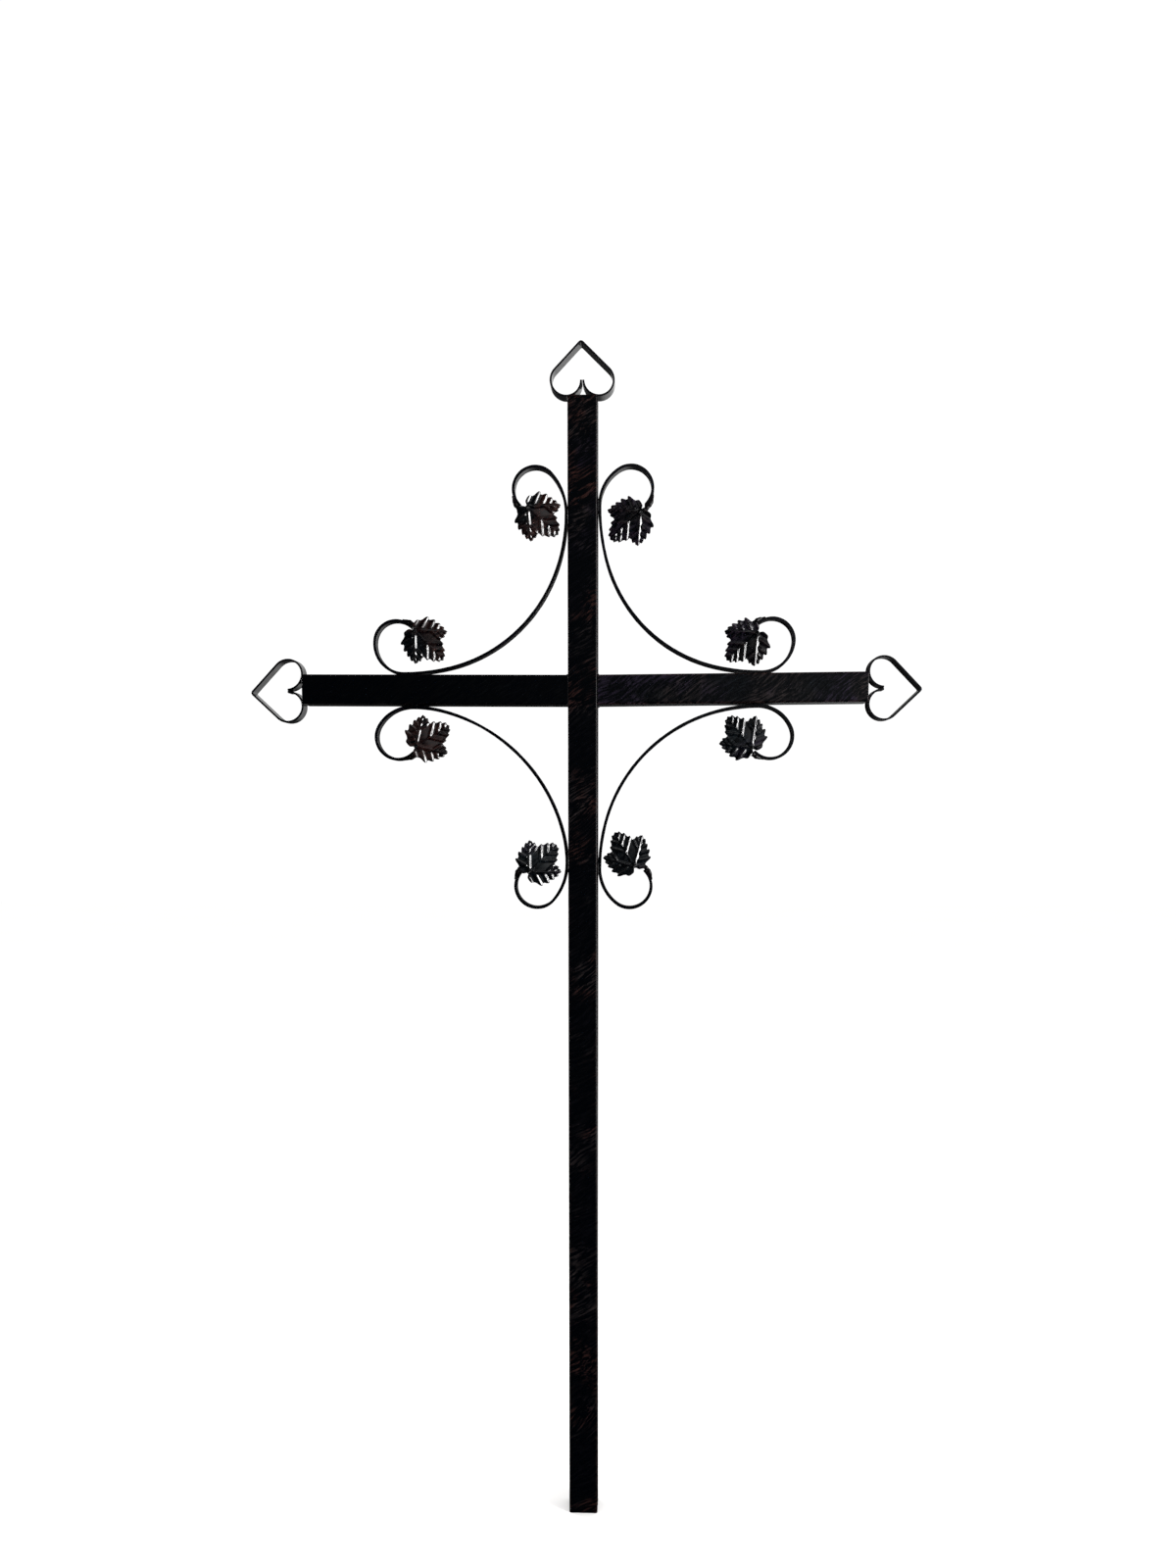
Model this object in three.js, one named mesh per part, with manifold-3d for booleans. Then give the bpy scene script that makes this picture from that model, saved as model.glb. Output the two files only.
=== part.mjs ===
// A wrought iron grave cross: a square tube upright with two square tube arms, an open heart
// of bent strip on each free end, a C-scroll of flat bar in each inner corner and a stamped
// vine leaf on each scroll end. Millimetres, +Z up, the front faces -Y, and the origin is
// the middle of the foot.

import * as THREE from 'three';
import * as BufferGeometryUtils from 'three/addons/utils/BufferGeometryUtils.js';
import Module from 'manifold-3d';

const wasm = await Module();
wasm.setup();

// The air left between two pieces that touch.
const CLEARANCE = 0.3;

// Square tube of the upright and the arms, and the plates that close its ends.
const TUBE_SIDE = 30;
const TUBE_WALL = 2;
const TUBE_CORNER = 3.5;
const END_PLATE = 3;

// The frame: foot to top end, and from the arms' axis to the top end and to an arm's end.
const UPRIGHT_HEIGHT = 1161;
const HEAD_REACH = 287.7;
const ARM_REACH = 286.5;
// Both arms stand a little high at their free ends: the rise for each millimetre outwards.
const ARM_SLOPE = 0.0067;

// Hearts of thin strip on the tube ends. A drift is how far a tip leans to the right, seen
// with that tip upwards.
const HEART_WIDTH = 64.8;
const HEART_STRIP = 2;
const HEART_DEPTH = 16;
const HEART_TIP_RADIUS = 2;
const HEART_TIP_HALF_ANGLE = 45;
const HEART_DRIFT_TOP = -1.6;
const HEART_DRIFT_LEFT = -3;
const HEART_DRIFT_RIGHT = 2;

// Scrolls of flat bar. A reach runs from the inner corner along the tube to a curl's far side.
const SCROLL_STRIP = 3;
const SCROLL_DEPTH = 12;
const SCROLL_REACH_UPRIGHT = 208.2;
const SCROLL_REACH_ARM = 199.3;
const SCROLL_MIDDLE_TURN = 62;
const CURL_STANDOFF = 56.5;
const CURL_RADIUS = 22.2;
const CURL_TURN = 221;
const CURL_TAIL = 2.5;

// Stamped vine leaves. They lie in front of the bars, and their stems follow the backs of the
// curls and reach past the bar ends.
const LEAF_SHEET = 1.5;
const LEAF_CENTRE_LOBE = 41;
const LEAF_SIDE_LOBE = 32;
const LEAF_BASE_LOBE = 19.5;
const LEAF_PLEAT_PITCH = 8.5;
const LEAF_PLEAT_RISE = 1.2;
const LEAF_TOOTH = 1.1;
const LEAF_CROWN = 3;
const LEAF_NOTCH = 4;
const LEAF_SINUS = 150;
const LEAF_FAN_FOLDS = 8;
const LEAF_HUB = 2.2;
const LEAF_FORWARD = 6.4;
const STEM_WIDTH = 3;
const STEM_DEPTH = 7;
const STEM_FORWARD = 5.1;
const STEM_WRAP = 24;
const STEM_PAST_BAR = 2.5;
const STEM_PAST_HUB = 1.3;

// The four corners, left and right as seen from the front. The scrolls were bent and the
// leaves set by hand, so each scroll has its own curl lengths (along the tube, from where the
// scroll leaves it) and fullness (the middle bend's radius as a share of the distance from
// the inner corner to there). Each leaf has how far its hub lies ahead of the bar's end and
// to its left, and how many degrees it is turned on.
const CORNERS = [
  {
    name: 'upper_left', right: -1, up: 1, uprightCurl: 47.2, armCurl: 31.3, fullness: 0.942,
    uprightLeaf: { ahead: 7.4, aside: 4, turn: 9 }, armLeaf: { ahead: 5.7, aside: 0.6, turn: 4.6 },
  },
  {
    name: 'upper_right', right: 1, up: 1, uprightCurl: 39.7, armCurl: 33.8, fullness: 0.901,
    uprightLeaf: { ahead: 9.8, aside: -1.5, turn: 8.8 }, armLeaf: { ahead: 5, aside: 7, turn: -0.5 },
  },
  {
    name: 'lower_left', right: -1, up: -1, uprightCurl: 47.7, armCurl: 38.8, fullness: 1.065,
    uprightLeaf: { ahead: 4, aside: 6.8, turn: 4 }, armLeaf: { ahead: 6.6, aside: 2.1, turn: -8.5 },
  },
  {
    name: 'lower_right', right: 1, up: -1, uprightCurl: 42.2, armCurl: 36.8, fullness: 0.959,
    uprightLeaf: { ahead: 10.5, aside: 5, turn: -11 }, armLeaf: { ahead: 5, aside: 0, turn: 12.3 },
  },
];

// The farthest that a flat may stray from the bend it stands for.
const BEND_SAG = 0.12;
const CORNER_FLATS = 4;
// Edges shorter than this are closed up where two solids are joined.
const JOIN_TOLERANCE = 0.1;

// Shares of a leaf fold's length that get a point, and the halvings that find its end.
const FOLD_STATIONS = [0, 0.5, 1];
const VEIN_HALVINGS = 24;

const RIGHT_ANGLE = 90;
const SIDE_VEIN = 45;
const ARM_HEIGHT = UPRIGHT_HEIGHT - HEAD_REACH;
const HALF_TURN = 180;
const HALF_TUBE = TUBE_SIDE / 2;
const { degToRad, radToDeg } = THREE.MathUtils;

const lacquer = (color, roughness) => new THREE.MeshStandardMaterial({ color, roughness, metalness: 0.6 });
const BAR_FINISH = lacquer('#16110f', 0.28);
const STRIP_FINISH = lacquer('#1a1614', 0.3);
const LEAF_FINISH = lacquer('#1f1614', 0.32);

// Bent strips, drawn in a plane

function heading(angle) {
  return new THREE.Vector2(Math.cos(degToRad(angle)), Math.sin(degToRad(angle)));
}

// Follows straight and curved stretches from a point, heading in degrees and turning left
// for a positive turn, and gives the points of the line.
function walk(start, startAngle, stretches) {
  const points = [start.clone()];
  let angle = startAngle;
  for (const { length = 0, radius = 0, turn = 0 } of stretches) {
    const flat = radius > BEND_SAG ? radToDeg(2 * Math.acos(1 - BEND_SAG / radius)) : RIGHT_ANGLE;
    const steps = Math.max(1, Math.ceil(Math.abs(turn) / flat));
    const bend = turn / steps;
    const stride = turn ? 2 * radius * Math.sin(degToRad(Math.abs(bend)) / 2) : length;
    for (let step = 0; step < steps; step += 1) {
      points.push(heading(angle + bend / 2).multiplyScalar(stride).add(points.at(-1)));
      angle += bend;
    }
  }
  return points;
}

// The outline of a strip of one width whose middle follows the points.
function stripOutline(points, width) {
  const sides = points.map((point, index) => {
    const before = points[Math.max(index - 1, 0)];
    const after = points[Math.min(index + 1, points.length - 1)];
    const along = after.clone().sub(before).normalize().multiplyScalar(width / 2);
    const across = new THREE.Vector2(-along.y, along.x);
    return { left: point.clone().add(across), right: point.clone().sub(across) };
  });
  return [...sides.map(({ left }) => left), ...sides.map(({ right }) => right).reverse()];
}

// A drawn outline made solid, with its depth shared equally before and behind the drawing.
function slab(outline, depth) {
  const geometry = new THREE.ExtrudeGeometry(new THREE.Shape(outline), { depth, bevelEnabled: false });
  return geometry.translate(0, 0, -depth / 2);
}

// Tubes and end plates, along +Z from the origin

function roundedSquare(path, side, corner) {
  const reach = side / 2 - corner;
  const quarter = Math.PI / 2;
  path.absarc(reach, reach, corner, 0, quarter);
  path.absarc(-reach, reach, corner, quarter, 2 * quarter);
  path.absarc(-reach, -reach, corner, 2 * quarter, 3 * quarter);
  path.absarc(reach, -reach, corner, 3 * quarter, 4 * quarter);
  path.closePath();
  return path;
}

function squareExtrusion(depth) {
  return { depth, bevelEnabled: false, curveSegments: CORNER_FLATS };
}

function tube(length) {
  const section = roundedSquare(new THREE.Shape(), TUBE_SIDE, TUBE_CORNER);
  section.holes.push(roundedSquare(new THREE.Path(), TUBE_SIDE - 2 * TUBE_WALL, TUBE_CORNER - TUBE_WALL));
  return new THREE.ExtrudeGeometry(section, squareExtrusion(length));
}

function endPlate() {
  const outline = roundedSquare(new THREE.Shape(), TUBE_SIDE, TUBE_CORNER);
  return new THREE.ExtrudeGeometry(outline, squareExtrusion(END_PLATE));
}

// Lays a piece drawn along +Z out along an arm, and lifts it with the arm's slope.
function layAlongArm(geometry, side, start) {
  geometry.rotateY(side * Math.PI / 2);
  geometry.translate(side * start, 0, 0);
  const position = geometry.getAttribute('position');
  for (let index = 0; index < position.count; index += 1) {
    position.setZ(index, position.getZ(index) + ARM_SLOPE * Math.abs(position.getX(index)));
  }
  return geometry;
}

// Hearts, drawn with the tip towards +Y and the tube end at y = 0

// The strip runs from one side of the cusp round a lobe, straight to the tip and back down.
function heart(drift) {
  const halfStrip = HEART_STRIP / 2;
  const cuspX = halfStrip + CLEARANCE / 2;
  const lobeRadius = (HEART_WIDTH / 2 - halfStrip - cuspX) / 2;
  const cusp = new THREE.Vector2(cuspX, CLEARANCE + halfStrip + lobeRadius);
  const side = degToRad(HEART_TIP_HALF_ANGLE);
  const shoulderX = cuspX + lobeRadius * (1 + Math.cos(side));
  const straight = (shoulderX - HEART_TIP_RADIUS * Math.cos(side)) / Math.sin(side);
  const lobe = { radius: lobeRadius, turn: HALF_TURN + HEART_TIP_HALF_ANGLE };
  const tip = { radius: HEART_TIP_RADIUS, turn: HALF_TURN - 2 * HEART_TIP_HALF_ANGLE };
  const line = walk(cusp, -RIGHT_ANGLE, [lobe, { length: straight }, tip, { length: straight }, lobe]);
  const height = Math.max(...line.map(({ y }) => y));
  const outline = stripOutline(line, HEART_STRIP);
  return slab(outline.map(({ x, y }) => new THREE.Vector2(x + drift * y / height, y)), HEART_DEPTH);
}

// Scrolls, drawn in the upper right corner with the inner corner at the origin

const SCROLL_OFFSET = CLEARANCE + SCROLL_STRIP / 2;

// One curl, drawn as if on the arm: its line from the touch outwards, and the line of the
// leaf stem, which follows the curl's back and then runs to the leaf's hub.
function curl(touch, reach, { ahead, aside }) {
  const along = reach - touch - CURL_RADIUS - SCROLL_STRIP / 2;
  const away = CURL_STANDOFF - SCROLL_OFFSET - SCROLL_STRIP / 2 - 2 * CURL_RADIUS;
  const easing = 2 * Math.atan2(away, along);
  const line = walk(new THREE.Vector2(touch, SCROLL_OFFSET), 0, [
    { radius: CURL_RADIUS + along / Math.sin(easing), turn: radToDeg(easing) },
    { radius: CURL_RADIUS, turn: CURL_TURN - radToDeg(easing) },
    { length: CURL_TAIL },
  ]);
  const lap = SCROLL_STRIP / 2 + CLEARANCE + STEM_WIDTH / 2;
  const backRadius = CURL_RADIUS + lap;
  const centre = new THREE.Vector2(touch + along, SCROLL_OFFSET + away + CURL_RADIUS);
  const stemAngle = CURL_TURN - STEM_WRAP;
  const stemStart = heading(stemAngle - RIGHT_ANGLE).multiplyScalar(backRadius).add(centre);
  const stem = walk(stemStart, stemAngle, [
    { radius: backRadius, turn: STEM_WRAP },
    { length: CURL_TAIL + STEM_PAST_BAR },
  ]);
  const hub = heading(CURL_TURN).multiplyScalar(ahead).add(line.at(-1));
  stem.push(heading(CURL_TURN + RIGHT_ANGLE).multiplyScalar(aside).add(hub));
  return { line, stem };
}

// The long bend between the two touches: three arcs, the tightest in the middle.
function longBend(uprightTouch, armTouch, fullness) {
  const middleRadius = fullness * (uprightTouch + armTouch) / 2;
  const outerTurn = (RIGHT_ANGLE - SCROLL_MIDDLE_TURN) / 2;
  const sine = Math.sin(degToRad(outerTurn));
  const lift = 1 - Math.cos(degToRad(outerTurn));
  const middle = middleRadius * (1 - lift - sine);
  const down = uprightTouch - SCROLL_OFFSET - middle;
  const out = armTouch - SCROLL_OFFSET - middle;
  const share = sine * sine - lift * lift;
  return walk(new THREE.Vector2(SCROLL_OFFSET, uprightTouch), -RIGHT_ANGLE, [
    { radius: (sine * down - lift * out) / share, turn: outerTurn },
    { radius: middleRadius, turn: SCROLL_MIDDLE_TURN },
    { radius: (sine * out - lift * down) / share, turn: outerTurn },
  ]);
}

const swap = (point) => new THREE.Vector2(point.y, point.x);

// The whole line of a scroll, and its two leaf stems.
function scroll({ uprightCurl, armCurl, fullness, uprightLeaf, armLeaf }) {
  const uprightTouch = SCROLL_REACH_UPRIGHT - uprightCurl;
  const armTouch = SCROLL_REACH_ARM - armCurl;
  const uprightEnd = curl(uprightTouch, SCROLL_REACH_UPRIGHT, uprightLeaf);
  const armEnd = curl(armTouch, SCROLL_REACH_ARM, armLeaf);
  const line = [
    ...uprightEnd.line.map(swap).reverse(),
    ...longBend(uprightTouch, armTouch, fullness).slice(1),
    ...armEnd.line.slice(1),
  ];
  return { line, uprightStem: uprightEnd.stem.map(swap), armStem: armEnd.stem };
}

// Puts a drawn point into one of the four corners, right and up being 1 or -1.
function inCorner(point, right, up) {
  const outwards = HALF_TUBE + point.x;
  return new THREE.Vector2(right * outwards, up * (HALF_TUBE + point.y) + ARM_SLOPE * outwards);
}

// Leaves, drawn with the hub at the origin and the centre lobe towards +X

// Angle from the centre vein and distance from the hub: the tips and notches of one half.
const LEAF_EDGE = [
  [0, LEAF_CENTRE_LOBE],
  [27, LEAF_SIDE_LOBE - LEAF_NOTCH],
  [SIDE_VEIN, LEAF_SIDE_LOBE],
  [68, LEAF_BASE_LOBE + LEAF_NOTCH],
  [90, LEAF_BASE_LOBE],
  [116, LEAF_BASE_LOBE - 2 * LEAF_NOTCH],
  [LEAF_SINUS, LEAF_HUB + LEAF_NOTCH],
];

function edgeDistance(angle) {
  const next = Math.max(1, LEAF_EDGE.findIndex(([limit]) => limit >= angle));
  const [fromAngle, fromReach] = LEAF_EDGE[next - 1];
  const [toAngle, toReach] = LEAF_EDGE[next];
  return THREE.MathUtils.mapLinear(angle, fromAngle, toAngle, fromReach, toReach);
}

// How far a side vein runs from its start on the centre vein to the leaf's edge.
function veinLength(start, direction) {
  let inside = 0;
  let outside = LEAF_CENTRE_LOBE;
  for (let halving = 0; halving < VEIN_HALVINGS; halving += 1) {
    const middle = (inside + outside) / 2;
    const end = direction.clone().multiplyScalar(middle).add(start);
    if (end.length() < edgeDistance(radToDeg(end.angle()))) inside = middle;
    else outside = middle;
  }
  return inside;
}

// The folds of one half, from the tip round to the stem. Every second one is a raised vein
// that ends in a tooth, and the ones between are creases that end in a notch.
function leafFolds() {
  const tip = new THREE.Vector2(LEAF_CENTRE_LOBE, 0);
  const folds = [{ start: tip, end: tip, fold: 0 }];
  const halfPitch = LEAF_PLEAT_PITCH / 2;
  const direction = heading(SIDE_VEIN);
  for (let count = Math.floor(LEAF_CENTRE_LOBE / halfPitch - 0.5); count > 0; count -= 1) {
    const start = new THREE.Vector2(count * halfPitch, 0);
    const fold = count % 2 ? -1 : 1;
    const length = veinLength(start, direction) + fold * LEAF_TOOTH;
    folds.push({ start, end: direction.clone().multiplyScalar(length).add(start), fold });
  }
  for (let count = 0; count <= LEAF_FAN_FOLDS; count += 1) {
    const angle = SIDE_VEIN + count * (LEAF_SINUS - SIDE_VEIN) / LEAF_FAN_FOLDS;
    const fold = count % 2 ? -1 : 1;
    const reach = edgeDistance(angle) + fold * LEAF_TOOTH;
    folds.push({
      start: heading(angle).multiplyScalar(LEAF_HUB),
      end: heading(angle).multiplyScalar(reach),
      fold,
    });
  }
  return folds;
}

// The sheet is crowned over the hub, and its folds deepen with the distance from the hub.
function sheetPoint(point, fold) {
  const crown = LEAF_CROWN * (1 - (point.length() / LEAF_CENTRE_LOBE) ** 2);
  const pleat = fold * LEAF_PLEAT_RISE * point.length() / LEAF_SIDE_LOBE;
  return new THREE.Vector3(point.x, point.y, crown + pleat);
}

function halfLeaf() {
  const triangles = [];
  const rows = leafFolds().map(({ start, end, fold }) => FOLD_STATIONS.map((share) => (
    sheetPoint(start.clone().lerp(end, share), fold * share))));
  for (let row = 1; row < rows.length; row += 1) {
    const [before, after] = [rows[row - 1], rows[row]];
    for (let place = 1; place < FOLD_STATIONS.length; place += 1) {
      triangles.push([before[place - 1], before[place], after[place]]);
      triangles.push([before[place - 1], after[place], after[place - 1]]);
    }
  }
  const centre = sheetPoint(new THREE.Vector2(), 0);
  const ahead = sheetPoint(new THREE.Vector2(LEAF_HUB, 0), 0);
  const rim = rows.slice(-LEAF_FAN_FOLDS - 1).map(([first]) => first);
  const lastOnVein = rows.at(-LEAF_FAN_FOLDS - 2)[0];
  triangles.push([ahead, lastOnVein, rim[0]], [centre, ahead, rim[0]]);
  rim.slice(1).forEach((point, index) => triangles.push([centre, rim[index], point]));
  const behind = new THREE.Vector3(rim.at(-1).x, 0, rim.at(-1).z);
  triangles.push([centre, rim.at(-1), behind]);
  return triangles;
}

const same = (one, other) => one.distanceToSquared(other) < 1e-9;
const flip = (triangle) => [...triangle].reverse();

// Both halves, thickened backwards and walled along the edges that only one face uses.
function leafSheet() {
  const half = halfLeaf().filter(([a, b, c]) => !same(a, b) && !same(b, c) && !same(c, a));
  const mirrored = half.map((triangle) => (
    flip(triangle.map(({ x, y, z }) => new THREE.Vector3(x, -y, z)))));
  const front = [...half, ...mirrored];
  const back = new THREE.Vector3(0, 0, -LEAF_SHEET);
  const lowered = front.map((triangle) => flip(triangle.map((point) => point.clone().add(back))));
  const edges = front.flatMap(([a, b, c]) => [[a, b], [b, c], [c, a]]);
  const rim = edges.filter(([a, b]) => !edges.some(([c, d]) => same(a, d) && same(b, c)));
  const wall = rim.flatMap(([a, b]) => {
    const [c, d] = [a.clone().add(back), b.clone().add(back)];
    return [[b, a, c], [b, c, d]];
  });
  const points = [...front, ...lowered, ...wall].flat();
  return new THREE.BufferGeometry().setFromPoints(points);
}

// Solids, for the one join that a leaf needs

function toSolid(geometry) {
  geometry.deleteAttribute('normal');
  geometry.deleteAttribute('uv');
  const merged = BufferGeometryUtils.mergeVertices(geometry);
  const vertProperties = new Float32Array(merged.getAttribute('position').array);
  const triVerts = new Uint32Array(merged.getIndex().array);
  return new wasm.Manifold(new wasm.Mesh({ numProp: 3, vertProperties, triVerts }));
}

function toGeometry(solid) {
  const { vertProperties, triVerts } = solid.getMesh();
  const geometry = new THREE.BufferGeometry();
  geometry.setAttribute('position', new THREE.BufferAttribute(vertProperties, 3));
  geometry.setIndex(new THREE.BufferAttribute(triVerts, 1));
  geometry.computeVertexNormals();
  return geometry;
}

// A leaf on its stem, from the stem's line and the way its centre lobe points.
function leaf(stemLine, lobe) {
  const hub = stemLine.at(-1);
  const place = new THREE.Matrix4().makeBasis(
    new THREE.Vector3(lobe.x, lobe.y, 0),
    new THREE.Vector3(-lobe.y, lobe.x, 0),
    new THREE.Vector3(0, 0, 1),
  ).setPosition(hub.x, hub.y, LEAF_FORWARD);
  const sheet = leafSheet().applyMatrix4(place);
  const end = hub.clone().sub(stemLine.at(-2)).setLength(STEM_PAST_HUB).add(hub);
  const stemOutline = stripOutline([...stemLine.slice(0, -1), end], STEM_WIDTH);
  const stem = slab(stemOutline, STEM_DEPTH).translate(0, 0, STEM_FORWARD);
  return toGeometry(toSolid(sheet).add(toSolid(stem)).simplify(JOIN_TOLERANCE));
}

// The cross, put together

function piece(name, geometry, material, parent) {
  const mesh = new THREE.Mesh(geometry, material);
  mesh.name = name;
  parent.add(mesh);
  return mesh;
}

// A group whose drawings stand upright: their +Y is up and their +Z comes to the front.
function standing(parent) {
  const group = new THREE.Group();
  group.rotation.x = Math.PI / 2;
  parent.add(group);
  return group;
}

function addUpright(parent) {
  const plateAndGap = END_PLATE + CLEARANCE;
  piece('upright', tube(UPRIGHT_HEIGHT - 2 * plateAndGap), BAR_FINISH, parent).position.z = plateAndGap;
  piece('end_plate_foot', endPlate(), BAR_FINISH, parent);
  piece('end_plate_top', endPlate(), BAR_FINISH, parent).position.z = UPRIGHT_HEIGHT - END_PLATE;
  piece('heart_top', heart(HEART_DRIFT_TOP), STRIP_FINISH, standing(parent)).position.y = UPRIGHT_HEIGHT;
}

function addArm(name, side, drift, parent) {
  const start = HALF_TUBE + CLEARANCE;
  const length = ARM_REACH - END_PLATE - CLEARANCE - start;
  piece(`arm_${name}`, layAlongArm(tube(length), side, start), BAR_FINISH, parent);
  const plate = layAlongArm(endPlate(), side, ARM_REACH - END_PLATE);
  piece(`end_plate_${name}`, plate, BAR_FINISH, parent);
  const tip = piece(`heart_${name}`, heart(drift), STRIP_FINISH, standing(parent));
  tip.position.set(side * ARM_REACH, ARM_SLOPE * ARM_REACH, 0);
  tip.rotation.z = -side * Math.PI / 2;
}

// A leaf drawn by its stem, with its centre lobe pointing the given way beyond the hub.
function addLeaf(name, stem, lobeWay, toCorner, parent) {
  const line = stem.map(toCorner);
  const lobe = toCorner(lobeWay.add(stem.at(-1))).sub(line.at(-1)).normalize();
  piece(name, leaf(line, lobe), LEAF_FINISH, parent);
}

// One corner: its scroll, the leaf by the upright and the leaf by the arm.
function addCorner(corner, parent) {
  const { name, right, up, uprightLeaf, armLeaf } = corner;
  const { line, uprightStem, armStem } = scroll(corner);
  const toCorner = (point) => inCorner(point, right, up);
  const front = standing(parent);
  const bar = slab(stripOutline(line.map(toCorner), SCROLL_STRIP), SCROLL_DEPTH);
  piece(`scroll_${name}`, bar, STRIP_FINISH, front);
  const level = up > 0 ? 'high' : 'low';
  const uprightLobe = swap(heading(CURL_TURN + uprightLeaf.turn));
  addLeaf(`leaf_${name}_${level}`, uprightStem, uprightLobe, toCorner, front);
  addLeaf(`leaf_${name}_side`, armStem, heading(CURL_TURN + armLeaf.turn), toCorner, front);
}

const cross = new THREE.Group();
addUpright(cross);

const crossing = new THREE.Group();
crossing.position.z = ARM_HEIGHT;
cross.add(crossing);
addArm('left', -1, HEART_DRIFT_LEFT, crossing);
addArm('right', 1, HEART_DRIFT_RIGHT, crossing);
for (const corner of CORNERS) addCorner(corner, crossing);

export default cross;
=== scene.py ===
"""Looks of a wrought iron grave cross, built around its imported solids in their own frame."""

import math

import bmesh
import bpy
import numpy as np
from bpy.props import FloatProperty, FloatVectorProperty, PointerProperty
from mathutils import Matrix, Vector, noise


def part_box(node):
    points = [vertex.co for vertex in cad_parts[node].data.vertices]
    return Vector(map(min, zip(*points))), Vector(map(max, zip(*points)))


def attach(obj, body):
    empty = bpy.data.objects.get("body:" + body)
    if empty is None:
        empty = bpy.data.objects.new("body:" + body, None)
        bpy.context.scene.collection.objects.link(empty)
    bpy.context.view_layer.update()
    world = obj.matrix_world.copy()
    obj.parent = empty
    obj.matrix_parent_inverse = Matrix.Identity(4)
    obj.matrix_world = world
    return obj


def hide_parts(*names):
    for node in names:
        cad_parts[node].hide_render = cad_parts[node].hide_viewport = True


bl_info = {
    "name": "Wrought Iron Grave Cross",
    "version": (1, 0, 0),
    "blender": (4, 5, 0),
    "location": "3D View > Sidebar > Cross",
    "description": "Builds the pieces, finishes and stage of a wrought iron grave cross",
    "category": "Object",
}

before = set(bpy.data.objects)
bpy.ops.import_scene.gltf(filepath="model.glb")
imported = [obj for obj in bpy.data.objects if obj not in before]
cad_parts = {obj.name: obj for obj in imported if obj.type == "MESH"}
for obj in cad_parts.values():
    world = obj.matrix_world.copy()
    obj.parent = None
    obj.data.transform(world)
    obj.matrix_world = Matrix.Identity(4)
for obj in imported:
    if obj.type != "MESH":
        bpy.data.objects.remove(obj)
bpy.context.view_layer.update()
BODY = "root"


def mm(value):
    """Millimetres as metres."""
    return value / 1000


def linear(code):
    """An sRGB hex colour as linear red, green, blue and a full alpha."""
    channels = [int(code[i : i + 2], 16) / 255 for i in (1, 3, 5)]
    return (*(c / 12.92 if c <= 0.04045 else ((c + 0.055) / 1.055) ** 2.4 for c in channels), 1.0)


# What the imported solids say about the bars

FOOT_LOW, FOOT_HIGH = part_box("end_plate_foot")
ARM_LOW, ARM_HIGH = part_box("arm_right")
TUBE_SIDE = FOOT_HIGH.x - FOOT_LOW.x
HALF_TUBE = TUBE_SIDE / 2
PLATE = FOOT_HIGH.z - FOOT_LOW.z
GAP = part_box("upright")[0].z - FOOT_HIGH.z
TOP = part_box("end_plate_top")[1].z
ARM_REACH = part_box("end_plate_right")[1].x
ARM_SLOPE = (ARM_HIGH.z - ARM_LOW.z - TUBE_SIDE) / (ARM_HIGH.x - ARM_LOW.x)
ARM_HEIGHT = ARM_LOW.z + HALF_TUBE - ARM_SLOPE * ARM_LOW.x

# The four corners. Curls are the curl lengths by the upright and by the arm, in millimetres,
# and a leaf is how far its hub lies ahead of the bar's end and to its left, in millimetres,
# how many degrees it is turned on, and its patina.
CORNERS = {
    "upper_left": {
        "right": -1, "up": 1, "curls": (47.2, 31.3), "fullness": 0.942,
        "leaves": {"high": (7.4, 4, 9, "copper"), "side": (5.7, 0.6, 4.6, "copper")},
    },
    "upper_right": {
        "right": 1, "up": 1, "curls": (39.7, 33.8), "fullness": 0.901,
        "leaves": {"high": (9.8, -1.5, 8.8, "plum"), "side": (5, 7, -0.5, "plum")},
    },
    "lower_left": {
        "right": -1, "up": -1, "curls": (47.7, 38.8), "fullness": 1.065,
        "leaves": {"low": (4, 6.8, 4, "slate"), "side": (6.6, 2.1, -8.5, "copper")},
    },
    "lower_right": {
        "right": 1, "up": -1, "curls": (42.2, 36.8), "fullness": 0.959,
        "leaves": {"low": (10.5, 5, -11, "slate"), "side": (5, 0, 12.3, "slate")},
    },
}

# How finely the meshes are drawn: flats in each rounded corner, distances between rings, points
# round a bead, and the angle in degrees from which an edge stays sharp
TUBE_FLATS, STRIP_FLATS, STEM_FLATS, PLATE_STEPS = 8, 3, 4, 4
HEART_SPACING, SCROLL_SPACING = mm(1.5), mm(1.8)
STEM_SPACING, ARM_WELD_SPACING = mm(0.7), mm(1.5)
WELD_SIDES, BEAD_RINGS, BEAD_SIDES = 10, 13, 12
LEAF_SPOKES, LEAF_RINGS = 340, 50
SHARP, LEAF_SHARP = 40, 60

# The welds: radius and length, how far the arms' are ground in, how far others stand off, how
# much of the strip's width they take, and how near the middle of a heart's lobe they sit
WELD_RADIUS, WELD_FLUSH = mm(1.3), mm(0.4)
HEART_WELD_LIFT, HEART_WELD_SHARE, HEART_WELD_PLACE = mm(0.7), 0.85, 0.9
TOUCH_WELD_RADIUS, TOUCH_WELD_LENGTH = mm(1.2), mm(13)
TOUCH_WELD_LIFT, TOUCH_WELD_SHARE = mm(0.2), 0.46
HUB_BEAD_RADIUS, HUB_BEAD_LENGTH = mm(1.7), mm(4.6)
# Their ripples as shares of the radius: two waves round an arm, a bead's wave and roughness
ARM_RIPPLE, ARM_DRIFT, BEAD_RIPPLE, BEAD_ROUGH = 0.1, 0.08, 0.12, 0.1

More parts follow.
